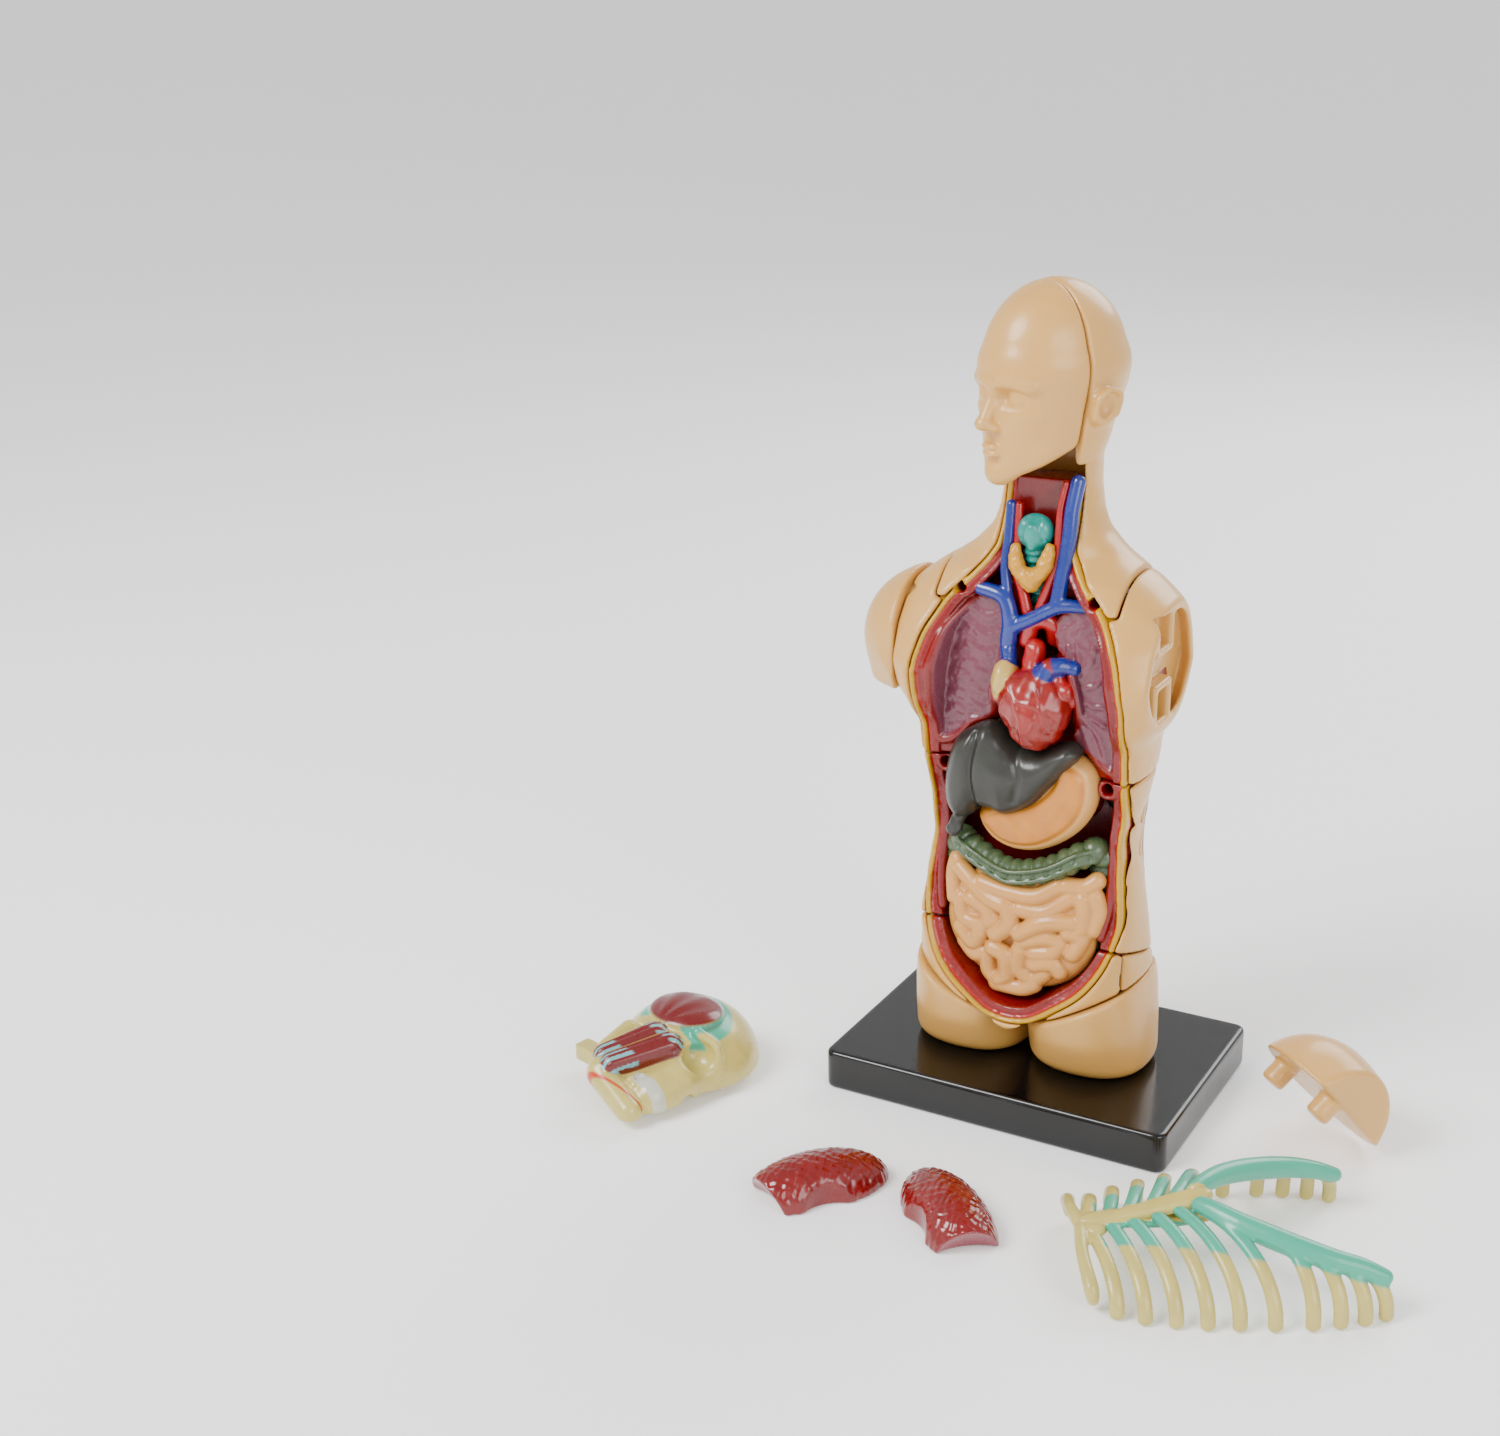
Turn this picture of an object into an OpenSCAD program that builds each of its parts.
// Take-apart torso anatomy model on a display base.
// +Z is up, the chest faces -Y, the origin is the middle of the base's underside.

/* [Display base] */
// Width of the base, side to side
base_w = 50.8; // [48:0.2:56]
// Depth of the base, front to back
base_d = 35.6; // [34:0.2:42]
// Height of the base
base_h = 5.8; // [5.6:0.1:6]
// Radius of the base's upright corners
base_corner = 1.6; // [0.8:0.1:3]
// Depth of the hollow under the base
base_hollow = 3.6; // [2:0.1:3.8]

/* [Shells] */
// Wall of the skin-coloured shells
skin_wall = 1.2; // [1:0.1:1.3]
// Wall of the dark liners inside them
liner_wall = 1; // [0.8:0.1:1.1]
// Wall of the two head shells
head_wall = 1.3; // [1:0.1:1.6]
// Height of the waist seam
waist_z = 49.9; // [49:0.1:50.4]
// Height of the hip seam
hip_z = 25; // [24:0.1:26]
// Height at which the neck shell starts
yoke_z = 72.8; // [72:0.1:73.2]
// Where the shoulders are cut for the arms, out from the middle
shoulder_cut = 18; // [17.6:0.1:18.4]
// How far the head is turned to its right
head_turn = 28; // [0:1:35]

/* [Fits] */
// Gap between a piece that lifts out and its neighbours
gap = 0.3; // [0.25:0.05:0.4]
// Diameter of the four peg holes for the rib cage
rib_hole_d = 1.6; // [1.2:0.1:2]
// Diameter of the pegs on the arms
arm_peg_d = 3.4; // [3:0.1:3.6]
// Width of the square arm sockets
arm_socket_w = 4; // [3.9:0.1:4.2]

/* [Loose pieces] */
// Middle of the skull half on the table
skull_place = [-46.5, -26.5]; // [-80:0.5:80]
// Middle of the right lung front on the table
right_lung_place = [-13.5, -42.5]; // [-80:0.5:80]
// Middle of the left lung front on the table
left_lung_place = [5.2, -41]; // [-80:0.5:80]
// Head end of the rib cage on the table
rib_place = [23.4, -41.6]; // [-80:0.5:80]
// Middle of the left arm on the table
arm_place = [43, 1]; // [-80:0.5:80]

/* [Hidden] */

skin = [0.90, 0.74, 0.56];
wall_red = [0.46, 0.13, 0.15];
bone = [0.86, 0.82, 0.60];
far = 80;
sides = 24;

// Outline of the body from the thighs to the neck: height, half width, front and back
body_levels = [5.8, 12, 17, 22, 27, 32, 38, 44, 50, 55, 60, 64, 68.8, 71.3, 73.7, 76, 79, 82, 84.5, 88];
body_half = [[5.8, 17.6], [12, 17.1], [17, 16.8], [22, 16.2], [27, 15.8], [32, 15.3], [38, 14.6],
             [44, 14.9], [50, 15.8], [55, 16.2], [60, 20], [64, 21.8], [68.8, 21.6], [71.3, 20.4],
             [73.7, 18.2], [76, 15.2], [79, 10.9], [82, 8.2], [84.5, 7.4], [88, 7.2]];
body_front = [[5.8, -9.2], [12, -12], [17, -12.8], [22, -13.5], [27, -13.8], [32, -13.8], [38, -12.4],
              [44, -13.4], [50, -15.2], [55, -15.6], [60, -15.2], [64, -15.5], [68.8, -13.4],
              [71.3, -11.6], [73.7, -10.6], [76, -9.1], [79, -7.1], [82, -6.1], [84.5, -5.6], [88, -5.4]];
body_back = [[5.8, 8.3], [12, 10.8], [17, 10.9], [22, 10.3], [27, 9.6], [32, 8.6], [38, 7.4], [44, 8],
             [50, 10.2], [55, 10.8], [60, 10.6], [64, 12], [68.8, 10.2], [71.3, 9.2], [73.7, 8.8],
             [76, 8.4], [79, 7.5], [82, 6.9], [84.5, 6.8], [88, 6.8]];

// Outline of the head: height, half width, front and back
head_levels = [85, 87, 90, 94, 98, 102, 106, 109.5, 112, 113.6, 114.3];
head_half = [[85, 4], [87, 5.8], [90, 6.6], [94, 7.3], [98, 7.9], [102, 8.2], [106, 8], [109.5, 6.8],
             [112, 5.1], [113.6, 3], [114.3, 0.6]];
head_front = [[85, -8.2], [87, -9.7], [90, -10], [94, -10.2], [98, -10.2], [102, -10.2], [106, -9.6],
              [109.5, -7.8], [112, -5.4], [113.6, -2.9], [114.3, -0.3]];
head_back_y = [[85, 6], [87, 6.4], [90, 7], [94, 8.4], [98, 9.7], [102, 10.2], [106, 9.8],
               [109.5, 8.5], [112, 6.2], [113.6, 3.6], [114.3, 0.9]];

// Half width of the opening in the front of the trunk at each height
rim_half = [[13.7, 0.6], [14.4, 3.6], [16.8, 7.2], [19.4, 10.4], [22.5, 12.6], [25.7, 13.9],
            [29.4, 14.6], [33, 14.4], [37, 14], [41, 14], [44.5, 14.4], [50.4, 14.7], [54.7, 14.8],
            [60.3, 15.2], [63.7, 15], [66, 14.5], [68.5, 13.7], [71.1, 12.4], [73.5, 10.9], [76.2, 8.3],
            [79.2, 6.1], [82.3, 5.4], [87.3, 5.2]];
cavity_back = 1.5;
flange_step = 2.2;

thigh_tilt = 26.7;
thigh_seam_z = 12.6;
thigh_split = 0.15;
thigh_peg_d = 5;
crotch_back = 0.9;

neck_top = 86.4;
neck_axis = 0.7;
face_plane = -1;

rib_holes = [[9.4, -7.4, 74.3], [11.7, -8.3, 48.7]];
arm_pegs_z = [70.8, 61];
arm_peg_y = -4.4;
arm_peg_len = 3;
socket_depth = 3.4;
socket_wall = 0.9;

// The balls that each lobe of the liver spans: centre and radius
liver_lobes = [[[-7.2, -7.4, 46.8, 3.4], [-8.8, -7.2, 43.4, 2.8], [-5.4, -8.2, 49.8, 3.5]],
               [[-5.4, -8.2, 49.8, 3.5], [0, -9.2, 49.4, 2.6], [5.2, -8.8, 51.4, 1.4], [-2, -9.2, 45, 2.6]]];

// Centre line and radius of the stomach, from the gullet to the way out
stomach_route = [[4.8, -4.6, 52.6], [6.8, -5, 49.6], [7.4, -5.6, 45.8], [5.2, -6.4, 42.4], [1, -6.8, 41.3],
                 [-3.2, -6.4, 41.8], [-6, -5.8, 43]];
stomach_r = [1, 2.4, 3.5, 3.4, 3, 2.4, 1.3];

// Centre line of the large intestine, from the lower right, up, across, and down the left
colon_route = [[-6.4, -3.4, 22.6], [-8.4, -3.4, 25.4], [-9.6, -3.4, 31], [-9.4, -4, 36.2],
               [-8, -6.2, 37.6], [-5, -7.2, 36.8], [0, -7.4, 35.8], [5, -7, 36.4], [8, -5.4, 37.4],
               [9.6, -3.8, 36], [9.7, -3.4, 31], [8.5, -3.4, 25.4], [6.4, -3.4, 22.6]];

// Rows of the small intestine's coils: height, half length and how far forward the row lies
gut_rows = [[19.7, 5.4, -7.8], [22.6, 8.4, -8.8], [25.5, 10, -9.3], [28.4, 10.8, -9.4], [31.3, 10.8, -9.1]];

// Rib ends measured down from the collar bone: drop at the breastbone, drop and half width at the side
ribs = [[1, 2.6, 11.2], [3.6, 5.7, 12.4], [6.2, 9.2, 13.2], [9, 12.8, 13.7], [11.6, 16.5, 14],
        [13.8, 20.6, 14.2], [15.5, 25, 14.2], [16.5, 28.3, 13.9], [17, 31.3, 13.4], [17.3, 34, 12.6]];
rib_d = 1.7;
rib_floor = 6.2;
rib_lift = 0.65;
rib_turn = 30.5;
skull_size = 1.13;
right_lung_turn = -38;
left_lung_turn = 48;
arm_lift = 7.73;

function at(table, z) = lookup(z, table);
function rounded(c, power) = sign(c) * pow(abs(c), 2 / power);
function unit(v) = v / norm(v);

// One level ring of the body or head, drawn in by inset
function level_ring(half, front, back, z, inset, power) =
    let (a = at(half, z) - inset,
         mid = (at(back, z) + at(front, z)) / 2,
         b = (at(back, z) - at(front, z)) / 2 - inset)
    [for (i = [0:sides - 1])
        let (t = 360 * i / sides)
        [max(a, 0.2) * rounded(cos(t), power), mid + max(b, 0.2) * rounded(sin(t), power), z]];

// A smooth curve through the middle points of a list
function spline(p, i, t) =
    let (a = p[max(i - 1, 0)], b = p[i], c = p[min(i + 1, len(p) - 1)], d = p[min(i + 2, len(p) - 1)])
    0.5 * (2 * b + (c - a) * t + (2 * a - 5 * b + 4 * c - d) * t * t + (3 * b - a - 3 * c + d) * t * t * t);
function curve(p, steps) =
    [for (i = [0:len(p) - 2]) for (k = [0:steps - 1]) spline(p, i, k / steps), p[len(p) - 1]];

// Rings of a tube whose cross-section is round, along a route
function tube_rings(route, radii, n) =
    [for (i = [0:len(route) - 1])
        let (ahead = route[min(i + 1, len(route) - 1)],
             behind = route[max(i - 1, 0)],
             along = unit(ahead - behind),
             side = unit(cross(abs(along[1]) > 0.9 ? [0, 0, 1] : [0, 1, 0], along)),
             up = cross(along, side))
        [for (k = [0:n - 1])
            let (t = 360 * k / n)
            route[i] + radii[i] * (cos(t) * side + sin(t) * up)]];

// A closed skin over a stack of rings
module loft(rings) {
    n = len(rings[0]);
    m = len(rings);
    polyhedron(
        points = [for (ring = rings) each ring],
        faces = [[for (i = [0:n - 1]) i],
                 [for (i = [0:n - 1]) m * n - 1 - i],
                 for (j = [0:m - 2]) for (i = [0:n - 1])
                     [j * n + i, (j + 1) * n + i, (j + 1) * n + (i + 1) % n],
                 for (j = [0:m - 2]) for (i = [0:n - 1])
                     [j * n + i, (j + 1) * n + (i + 1) % n, j * n + (i + 1) % n]]);
}

// Keeps a freeform moulding whole, at its own size
module moulded() {
    resize([0, 0, 0]) children();
}

module tube(route, radii, n = 10) {
    loft(tube_rings(route, radii, n));
}

module blob(balls) {
    hull()
        for (b = balls)
            translate([b[0], b[1], b[2]]) sphere(r = b[3], $fn = 14);
}

module egg(centre, radii, n = 16) {
    loft([for (j = [0:n / 2])
        let (lat = -88 + 176 * j / (n / 2))
        [for (i = [0:n - 1])
            let (t = 360 * i / n)
            [centre[0] + radii[0] * cos(lat) * cos(t), centre[1] + radii[1] * cos(lat) * sin(t),
             centre[2] + radii[2] * sin(lat)]]]);
}

// The whole trunk between two heights, its surface drawn in by inset
module trunk(z0, z1, inset) {
    loft([level_ring(body_half, body_front, body_back, z0, inset, 2.4),
          for (z = body_levels) if (z > z0 + 0.2 && z < z1 - 0.2)
              level_ring(body_half, body_front, body_back, z, inset, 2.4),
          level_ring(body_half, body_front, body_back, z1, inset, 2.4)]);
}

// A block that keeps one stretch of height
module band(z0, z1) {
    translate([-far, -far, z0]) cube([2 * far, 2 * far, z1 - z0]);
}

// The opening of the trunk as an upright prism, grown by grow, from y0 to y1
module cavity(grow, y0, y1) {
    right_side = [for (p = rim_half) [p[1], p[0]]];
    left_side = [for (i = [len(rim_half) - 1:-1:0]) [-rim_half[i][1], rim_half[i][0]]];
    translate([0, y1, 0])
        rotate([90, 0, 0])
            linear_extrude(y1 - y0)
                offset(delta = grow) polygon(concat(right_side, left_side));
}

// Everything above the two slanted thigh seams
module above_thighs() {
    for (side = [-1, 1])
        scale([side, 1, 1])
            translate([0, -far / 2, thigh_seam_z])
                rotate([0, -thigh_tilt, 0])
                    translate([-0.01, 0, 0]) cube([far, far, far]);
    translate([-0.4, -far / 2, thigh_seam_z]) cube([0.8, far, far]);
}

// Skin of the trunk between two heights: hollow, open at the front
module trunk_skin(z0, z1) {
    difference() {
        trunk(z0, z1, 0);
        difference() {
            trunk(z0 - 1, z1 + 1, skin_wall);
            band(-far, 14.5);
        }
        cavity(0, -far, 0);
    }
}

// Dark liner between two heights: a tray behind the opening
module trunk_liner(z0, z1) {
    intersection() {
        difference() {
            cavity(liner_wall + 1.6, -far, cavity_back + liner_wall);
            cavity(0, -far, -far / 2);
            cavity(-flange_step, -far, cavity_back);
            throat_slot();
            flange_front();
        }
        trunk(max(z0, 14.6), z1, skin_wall + 0.06);
        band(z0, z1);
    }
}

// Wider stretch of the tray for the throat's vessels, where the ledge runs out
module throat_slot() {
    intersection() {
        cavity(-0.6, -far, cavity_back);
        band(71.6, far * 2);
    }
}

// Space in front of the liner's ledge, which lies a little behind the edge of the skin
module flange_front() {
    for (i = [0:len(rim_half) - 2]) {
        z0 = rim_half[i][0];
        z1 = rim_half[i + 1][0];
        mid = (z0 + z1) / 2;
        half = at(body_half, mid);
        centre = (at(body_front, mid) + at(body_back, mid)) / 2;
        depth = (at(body_back, mid) - at(body_front, mid)) / 2;
        reach = pow(max(1 - pow(min(at(rim_half, mid) / half, 1), 2.4), 0), 1 / 2.4);
        translate([-far, -far, z0 - 0.01]) cube([2 * far, far + centre - depth * reach + 1, z1 - z0 + 0.02]);
    }
}

module rib_peg_holes(names) {
    for (hole = names)
        for (side = [-1, 1])
            translate([side * hole[0], 0.5, hole[2]])
                rotate([90, 0, 0]) cylinder(d = rib_hole_d, h = 16, $fn = 32);
}

module display_base() {
    color([0.03, 0.03, 0.03])
        difference() {
            linear_extrude(base_h) base_outline(0);
            translate([0, 0, -1]) linear_extrude(base_hollow + 1) base_outline(1.6);
            for (side = [-1, 1])
                translate([side * 8.75, -0.4, base_hollow - 1]) cylinder(d = thigh_peg_d + 0.1, h = 6, $fn = 48);
        }
}

module base_outline(inset) {
    w = base_w / 2 - base_corner;
    d = base_d / 2 - base_corner;
    square([base_w - 2 * inset, 2 * d], center = true);
    square([2 * w, base_d - 2 * inset], center = true);
    for (x = [-w, w])
        for (y = [-d, d])
            translate([x, y]) circle(r = max(base_corner - inset, 0.01), $fn = 32);
}

// One thigh stump, side = 1 for the left
module thigh(side) {
    color(skin) {
        moulded()
            difference() {
                scale([side, 1, 1]) loft([for (z = [base_h, 9, 13, 17, 21]) thigh_ring(z)]);
                above_thighs();
            }
        translate([side * 8.75, -0.4, base_hollow - 0.2])
            cylinder(d = thigh_peg_d - 0.1, h = base_h - base_hollow + 0.5, $fn = 48);
    }
}

function thigh_ring(z) =
    let (outer = at(body_half, z), half = (outer - thigh_split) / 2,
         mid = (at(body_back, z) + at(body_front, z)) / 2,
         depth = (at(body_back, z) - at(body_front, z)) / 2 * (z < 7 ? 1 : 0.95))
    [for (i = [0:sides - 1])
        let (t = 360 * i / sides)
        [thigh_split + half + half * rounded(cos(t), 2.3), mid + depth * rounded(sin(t), 2.3), z]];

module right_thigh() thigh(-1);
module left_thigh() thigh(1);

module pelvis_whole() {
    intersection() {
        trunk_skin(9, hip_z);
        above_thighs();
    }
}

module pelvis_front() {
    color(skin)
        moulded()
            difference() {
                pelvis_whole();
                translate([-far, crotch_back - 8, 0]) cube([far - 14.3, far, far]);
                translate([14.3, crotch_back - 8, 0]) cube([far, far, far]);
                translate([-far, crotch_back, 0]) cube([2 * far, far, far]);
            }
}

module pelvis_back() {
    color(skin)
        moulded()
            intersection() {
                pelvis_whole();
                union() {
                    translate([-far, crotch_back - 8, 0]) cube([far - 14.3, far, far]);
                    translate([14.3, crotch_back - 8, 0]) cube([far, far, far]);
                    translate([-far, crotch_back, 0]) cube([2 * far, far, far]);
                }
            }
}

module abdomen_shell() {
    color(skin) moulded() trunk_skin(hip_z, waist_z);
}

// Where the neck shell takes over from the chest shell
module yoke_block() {
    translate([-12.8, -far, yoke_z]) cube([25.6, 2 * far, far]);
}

module arm_cut() {
    for (side = [-1, 1])
        translate([side > 0 ? shoulder_cut : -shoulder_cut - far, -far, 52]) cube([far, 2 * far, 40]);
}

// A square socket that takes one arm peg, side = 1 for the left
module arm_socket(side, z) {
    x = side > 0 ? shoulder_cut - socket_depth : -shoulder_cut;
    w = arm_socket_w + 2 * socket_wall;
    difference() {
        translate([x, arm_peg_y - w / 2, z - w / 2]) cube([socket_depth, w, w]);
        translate([x - 1, arm_peg_y - arm_socket_w / 2, z - arm_socket_w / 2])
            cube([socket_depth + 2, arm_socket_w, arm_socket_w]);
    }
}

module chest_shell() {
    color(skin)
        moulded() {
            difference() {
                trunk_skin(waist_z, 77.5);
                yoke_block();
                arm_cut();
                peg_ways();
            }
            for (side = [-1, 1])
                for (z = arm_pegs_z)
                    difference() {
                        intersection() {
                            arm_socket(side, z);
                            trunk(waist_z, 88, 0.5);
                        }
                        cavity(liner_wall + 1.8, -far, cavity_back + liner_wall + 0.2);
                    }
        }
}

module neck_shell() {
    color(skin)
        moulded()
            difference() {
                intersection() {
                    trunk_skin(yoke_z, 88);
                    yoke_block();
                }
                band(neck_top, far * 2);
            }
}

module head_solid() {
    loft([for (z = head_levels) level_ring(head_half, head_front, head_back_y, z, 0, 2.1)]);
}

module head_hollow() {
    egg([0, 0, 101.5], [8 - head_wall, 9.9 - head_wall, 12 - head_wall]);
}

module turned_head() {
    translate([0, neck_axis, 0])
        rotate([0, 0, -head_turn])
            translate([0, -neck_axis, 0])
                children();
}

module head_whole() {
    difference() {
        union() {
            head_solid();
            for (side = [-1, 1])
                translate([side * 8, 1.4, 98.4])
                    scale([side, 1, 1])
                        loft([for (j = [0:4])
                            [for (i = [0:11])
                                let (t = 30 * i, s = 1 - 0.16 * j)
                                [-1 + 0.75 * j, 1.9 * s * cos(t) + 0.35 * j, -0.3 + 3.2 * s * sin(t)]]]);
        }
        head_hollow();
        band(0, neck_top);
    }
}

module head_back() {
    color(skin)
        moulded()
            turned_head()
                difference() {
                    head_whole();
                    translate([-far, face_plane - far, 0]) cube([2 * far, far, 2 * far]);
                }
}

module face_shell() {
    color(skin)
        moulded()
            turned_head() {
                difference() {
                    head_whole();
                    translate([-far, face_plane - gap, 0]) cube([2 * far, far, 2 * far]);
                }
            }
}

// An arm stump in its place on the shoulder, side = 1 for the left
module arm(side) {
    color(skin)
        scale([side, 1, 1]) {
            moulded()
                intersection() {
                    hull() {
                        translate([17.5, -0.8, 66.5]) sphere(r = 8.2, $fn = 28);
                        translate([16, -0.6, 70]) sphere(r = 6, $fn = 20);
                        translate([18, -3, 57.6]) cylinder(r = 6.4, h = 1, $fn = 32);
                        translate([18, 0.8, 62]) cylinder(r = 7.8, h = 1, $fn = 32);
                    }
                    translate([shoulder_cut + gap, -far / 2, 57.6]) cube([far, far, 30]);
                }
            for (z = arm_pegs_z)
                translate([shoulder_cut - arm_peg_len, arm_peg_y, z])
                    rotate([0, 90, 0]) cylinder(d = arm_peg_d, h = arm_peg_len + 1.2, $fn = 32);
        }
}

module right_arm() arm(-1);

module left_arm() {
    translate([arm_place[0], arm_place[1], 0])
        rotate([0, 0, 52])
            translate([0, 0, arm_lift])
                rotate([0, -40, 0])
                    rotate([-90, 0, 0])
                        translate([-shoulder_cut - 2, 0, -65])
                            arm(1);
}

module chest_liner() {
    color(wall_red)
        difference() {
            moulded() {
                difference() {
                    trunk_liner(waist_z, neck_top);
                    larynx_way();
                    peg_ways();
                }
                lung_backs();
                rib_ledges([rib_holes[0]]);
            }
            rib_peg_holes([rib_holes[0]]);
        }
}

// Space in the tray's upper edge for the larynx
module larynx_way() {
    translate([-4, -far, 82]) cube([8, far - 1.8, 10]);
}

// Space in the tray's sides for the arm pegs
module peg_ways() {
    for (side = [-1, 1])
        for (z = arm_pegs_z)
            translate([side > 0 ? shoulder_cut - socket_depth : -shoulder_cut - 1,
                       arm_peg_y - arm_socket_w / 2, z - arm_socket_w / 2])
                cube([socket_depth + 1, arm_socket_w, arm_socket_w]);
}

// Solid ears on the ledge round the rib cage's peg holes
module rib_ledges(holes) {
    for (hole = holes)
        for (side = [-1, 1])
            intersection() {
                translate([side * hole[0], cavity_back, hole[2]])
                    rotate([90, 0, 0]) cylinder(d = rib_hole_d + 1, h = cavity_back - hole[1], $fn = 20);
                cavity(0.5, -far, far);
            }
}

// The rear halves of the lungs, moulded on the back of the chest liner
module lung_backs() {
    for (side = [-1, 1])
        intersection() {
            egg([side * 9.4, -1, 62.6], [4.4, 6.4, 10.8]);
            cavity(-flange_step + 0.2, -6.4, cavity_back + 0.5);
            band(waist_z, 80);
        }
}

module abdomen_liner() {
    color(wall_red)
        difference() {
            moulded() {
                trunk_liner(hip_z, waist_z);
                rib_ledges([rib_holes[1]]);
            }
            rib_peg_holes([rib_holes[1]]);
        }
}

module pelvis_liner() {
    color(wall_red)
        moulded()
            intersection() {
                trunk_liner(9, hip_z);
                translate([0, 0, 0.06]) above_thighs();
            }
}

module kidney(side, z) {
    color([0.45, 0.12, 0.12])
        moulded()
            difference() {
                egg([side * 6.2, cavity_back, z], [2.2, 1.7, 3.8]);
                behind_back_wall();
            }
}

module behind_back_wall() {
    translate([-far, cavity_back, 0]) cube([2 * far, far, far]);
}

module right_kidney() kidney(-1, 42.5);
module left_kidney() kidney(1, 44.5);

module spleen() {
    color([0.12, 0.11, 0.11])
        moulded()
            difference() {
                egg([10.2, 1, 45.4], [1.6, 1.7, 2.6]);
                behind_back_wall();
            }
}

module pancreas() {
    color([0.80, 0.66, 0.34])
        moulded()
            tube(curve([[-3.2, 0.2, 39.2], [-1, 0, 39.8], [1.2, 0, 40.4], [3, 0.2, 41]], 2),
                 [0.9, 1.3, 1.2, 1.1, 1, 0.8, 0.6], 8);
}

module bladder() {
    color([0.86, 0.70, 0.60])
        moulded()
            difference() {
                egg([0, 0.6, 18.6], [3, 2.4, 1.9]);
                behind_back_wall();
            }
}

module trachea_larynx() {
    color([0.16, 0.62, 0.58])
        moulded() {
            tube(curve([[0, -2.8, 69.4], [0, -3.4, 74], [-0.3, -4.4, 79]], 2), [1.2, 1.2, 1.2, 1.3, 1.5], 12);
            blob([[-0.3, -4.6, 79.6, 2], [-0.3, -4.8, 81.6, 2.3], [-0.3, -4.2, 82.7, 1.7]]);
        }
}

module thyroid() {
    color([0.80, 0.60, 0.34])
        moulded()
            for (side = [-1, 1])
                tube(curve([[0, -6.6, 76.4], [side * 1.6, -6.7, 78], [side * 2.6, -6.2, 80.2]], 3),
                     [0.8, 0.9, 1, 1.1, 1.1, 0.9, 0.6], 10);
}

// Veins and arteries above the heart
module great_vessels() {
    color([0.18, 0.28, 0.55])
        moulded() {
            tube(curve([[3.9, -4.4, 83.4], [4.6, -5.4, 79], [5, -6.4, 74.6], [2.4, -7.2, 72.4],
                        [-1.6, -7.4, 70.6], [-2.4, -7.2, 67.8]], 3),
                 [for (i = [0:15]) 1.05], 10);
            tube(curve([[-4.2, -4.4, 82.5], [-4, -5.6, 78], [-4.2, -6.6, 73.4], [-2.4, -7.2, 70.8]], 3),
                 [for (i = [0:9]) 0.75], 10);
            tube(curve([[-0.6, -5.4, 67.6], [0, -6, 70.2], [2.2, -6, 70.2], [3, -4.6, 67.6]], 3),
                 [for (i = [0:9]) 1.15], 10);
        }
}

module heart() {
    color([0.62, 0.20, 0.17])
        moulded() {
            blob([[-1.6, -8.6, 60.6, 3.4], [2.6, -8.8, 59.4, 4], [3.2, -9, 56.6, 3.2], [1.2, -9, 62.6, 2.6]]);
            tube([[-1.2, -7.6, 61], [-1.2, -7.6, 64], [-0.4, -7.4, 66]], [1.9, 1.8, 1.5], 12);
            tube([[2.4, -8.4, 61], [3.2, -8, 64], [4.6, -7, 65.6]], [1.7, 1.6, 1.3], 12);
        }
}

module liver_mass() {
    for (lobe = liver_lobes)
        blob(lobe);
}

module stomach_mass() {
    route = curve(stomach_route, 3);
    radii = [for (i = [0:len(route) - 1])
        let (k = i / 3, a = floor(k)) stomach_r[a] + (k - a) * (stomach_r[min(a + 1, 6)] - stomach_r[a])];
    tube(route, radii, 14);
}

// The heart pushed forward out of the chest, as the space it needs
module heart_way() {
    hull() {
        blob([[-1.6, -8.6, 60.6, 3.4 + gap], [2.6, -8.8, 59.4, 4 + gap], [3.2, -9, 56.6, 3.2 + gap]]);
        translate([0, -20, 0]) blob([[0.8, -8.6, 59.6, 5]]);
    }
}

module liver_way() {
    grown = gap + 0.1;
    for (lobe = liver_lobes)
        blob([for (b = lobe) for (y = [b[1], -28]) [b[0], y, b[2], b[3] + grown]]);
}

module liver() {
    color([0.16, 0.16, 0.15])
        moulded()
            difference() {
                liver_mass();
                heart_way();
            }
}

module gallbladder() {
    color([0.17, 0.19, 0.15])
        moulded() blob([[-8.6, -9, 41.6, 1.1], [-9.2, -9.6, 40.6, 0.9]]);
}

module stomach() {
    color([0.84, 0.60, 0.42])
        moulded()
            difference() {
                stomach_mass();
                liver_way();
            }
}

module large_intestine() {
    route = curve(colon_route, 5);
    color([0.24, 0.30, 0.23])
        moulded() tube(route, [for (i = [0:len(route) - 1]) 1.95 + 0.15 * (i % 2)], 10);
}

module small_intestine() {
    color([0.88, 0.66, 0.48])
        moulded() {
            for (row = gut_rows)
                hull()
                    for (side = [-1, 1])
                        translate([side * (row[1] - 1.6), row[2], row[0]]) sphere(r = 1.75, $fn = 12);
            blob([[-5, -6.4, 30, 2], [5, -6.4, 30, 2], [-2.2, -6.4, 23, 2], [2.2, -6.4, 23, 2]]);
        }
}

// Front half of a lung, lying on its flat back; side = 1 for the left
module lung_front(side, turn) {
    rotate([0, 0, turn])
        moulded()
            difference() {
                scale([side, 1, 1])
                    egg([0, 0, 0], [5.2, 10.6, 5.2]);
                translate([-far, -far, -far]) cube([2 * far, 2 * far, far]);
                translate([side * -8.4, -7, -1]) cylinder(r = 6.4, h = 9, $fn = 24);
                translate([-far, -far - 7.4, -1]) cube([2 * far, far, far]);
            }
}

module right_lung_front() {
    color([0.50, 0.20, 0.18])
        translate([right_lung_place[0], right_lung_place[1], 0]) lung_front(-1, right_lung_turn);
}

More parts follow.
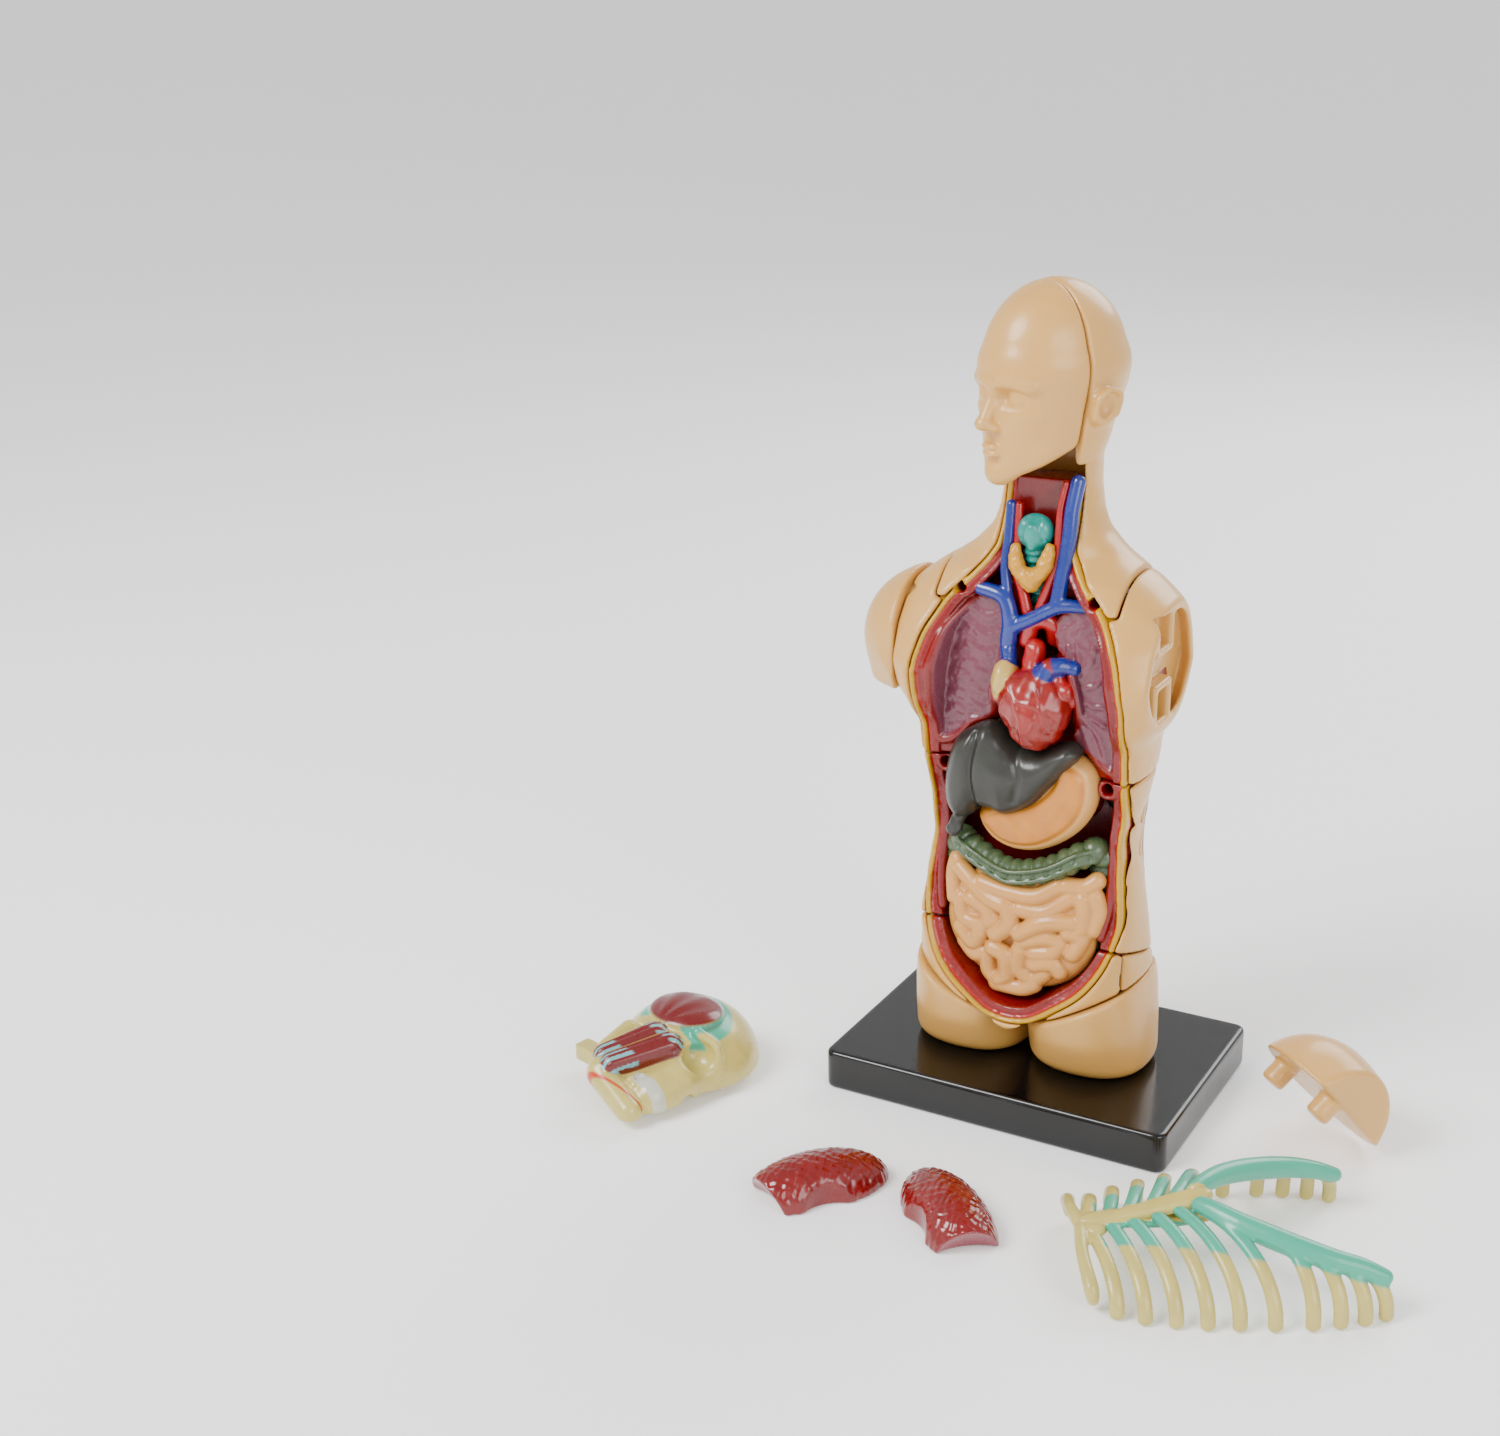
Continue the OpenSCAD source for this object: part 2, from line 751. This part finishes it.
module left_lung_front() {
    color([0.50, 0.20, 0.18])
        translate([left_lung_place[0], left_lung_place[1], 0]) lung_front(1, left_lung_turn);
}

// Turns the rib cage from its place in the chest to lie on the table, breastbone up
module on_table() {
    translate([rib_place[0], rib_place[1], rib_lift])
        rotate([0, 0, rib_turn + 90])
            rotate([-90, 0, 0])
                translate([0, rib_floor, -rib_holes[0][2]])
                    children();
}

function rib_front(drop) = -rib_floor - 4.6 - 4.2 * min(drop / 15, 1);

// Centre line of one rib from the breastbone round to its cut end
function rib_route(rib) =
    [for (k = [0:6])
        let (t = k / 6, a = 90 * t,
             lift = rib_front(rib[0]) + rib_floor)
        [1.6 + (rib[2] - 1.6) * sin(a), -rib_floor + lift * cos(a),
         rib_holes[0][2] - rib[0] - (rib[1] - rib[0]) * pow(t, 1.3)]];

module rib_cage() {
    color(bone)
        on_table()
            moulded() {
                for (side = [-1, 1])
                    scale([side, 1, 1]) {
                        for (rib = ribs)
                            tube(rib_route(rib), [for (k = [0:6]) rib_d / 2], 6);
                        tube([[0.8, -11.2, 74.6], [5, -10.6, 75], [9.4, -8.8, 74.6], [9.4, -7.1, 74.3]],
                             [0.8, 0.8, 0.9, 0.7], 8);
                    }
                blob([for (side = [-1, 1]) for (drop = [0, 16])
                          [1.3 * side, rib_front(drop) + 0.6, 74.3 - drop, 0.5]]);
            }
}

module sternum() {
    color(bone)
        on_table()
            moulded() {
                blob([[-1.8, rib_front(0), 74.4, 0.9], [1.8, rib_front(0), 74.4, 0.9],
                      [0, rib_front(3) - 0.2, 71.4, 1.1]]);
                blob([[0, rib_front(3) - 0.2, 71.4, 1.1], [-1.2, rib_front(12) - 0.2, 63, 0.9],
                      [1.2, rib_front(12) - 0.2, 63, 0.9], [0, rib_front(15) - 0.2, 59, 0.6]]);
            }
}

// Right half of the skull: the cut plane is on the table, the chin points to the front
module skull_half() {
    color(bone)
        translate([skull_place[0], skull_place[1], 1.4])
            rotate([0, 0, -14]) {
                moulded()
                    scale(skull_size) difference() {
                        union() {
                            egg([0, 3.6, 0], [9.2, 9.4, 8.4]);
                            blob([[4.6, -3.6, 1.2, 3.6], [5.2, -6.4, 1, 2.6]]);
                            blob([[-2.6, -5, 4.6, 2], [-1, -10.6, 3.4, 1.7], [5, -12, 0.6, 1.5]]);
                        }
                        translate([-far, -far, -far]) cube([2 * far, 2 * far, far]);
                        egg([-0.6, 3.8, 0], [7.6, 7.8, 6.8]);
                        translate([6.2, -1, 5]) sphere(r = 2.2, $fn = 16);
                    }
                translate([7.2, 8.3, -1.4]) cylinder(d = 1.8, h = 3, $fn = 24);
                translate([-11.6, -6.3, 1.6]) rotate([0, 90, 0]) cylinder(d = 2.6, h = 9.4, $fn = 24);
            }
}

module brain(side) {
    color([0.85, 0.66, 0.60])
        moulded()
            turned_head()
                intersection() {
                    egg([0, 0, 101.5],
                        [7.7 - head_wall - gap, 9.6 - head_wall - gap, 11.4 - head_wall - gap]);
                    translate([side > 0 ? gap / 2 : -far - gap / 2, -far / 2, 95]) cube([far, far, far]);
                }
}

module right_brain() brain(-1);
module left_brain() brain(1);

display_base();
right_thigh();
left_thigh();
pelvis_front();
pelvis_back();
abdomen_shell();
chest_shell();
neck_shell();
head_back();
face_shell();
right_arm();
left_arm();
chest_liner();
abdomen_liner();
pelvis_liner();
right_kidney();
left_kidney();
spleen();
pancreas();
bladder();
trachea_larynx();
thyroid();
great_vessels();
heart();
liver();
gallbladder();
stomach();
small_intestine();
large_intestine();
right_lung_front();
left_lung_front();
rib_cage();
sternum();
skull_half();
right_brain();
left_brain();
